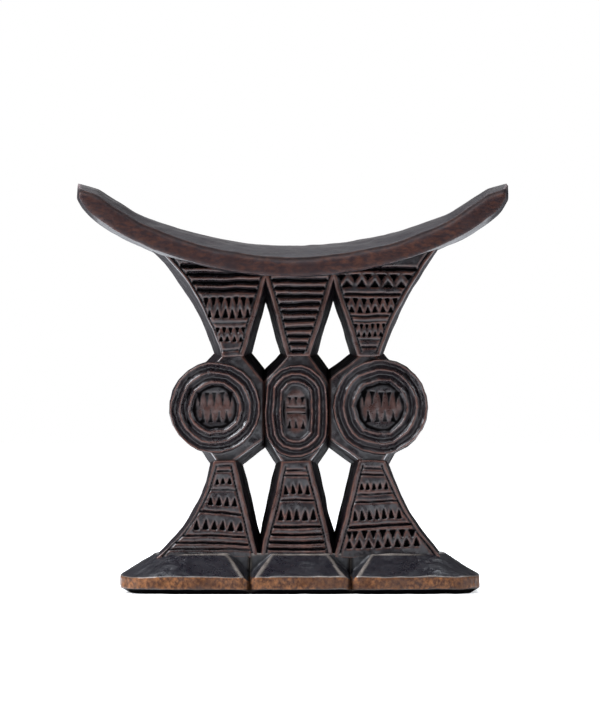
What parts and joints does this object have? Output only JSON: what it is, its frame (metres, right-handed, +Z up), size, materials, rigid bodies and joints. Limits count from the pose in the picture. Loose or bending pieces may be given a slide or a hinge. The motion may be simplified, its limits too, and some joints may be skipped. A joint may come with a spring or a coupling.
{
  "type": "headrest",
  "caption": "Carved wooden headrest: a curved neck rest on a pierced, relief-carved support of panels and discs, on a lobed foot.",
  "frame": {"origin": "on the ground, under the middle of the neck rest", "axes": "+Z up, +X along the neck rest, the front face looks along -Y"},
  "size_m": [0.1496, 0.063, 0.1418],
  "materials": {
    "rest_wood": "worn, waxed dark reddish brown hardwood with a soft gloss",
    "carved_wood": "near black patinated hardwood, semi-gloss on the ridges and dull in the cuts",
    "foot_wood": "dark patinated hardwood, worn to warm brown on its upright rim"
  },
  "bodies": {
    "root": {"neck_rest": "rest_wood", "left_upper_panel": "carved_wood", "centre_upper_panel": "carved_wood", "right_upper_panel": "carved_wood", "left_disc": "carved_wood", "centre_oval": "carved_wood", "right_disc": "carved_wood", "left_lower_panel": "carved_wood", "centre_lower_panel": "carved_wood", "right_lower_panel": "carved_wood", "left_foot_lobe": "foot_wood", "centre_foot_lobe": "foot_wood", "right_foot_lobe": "foot_wood"}
  },
  "joints": []
}
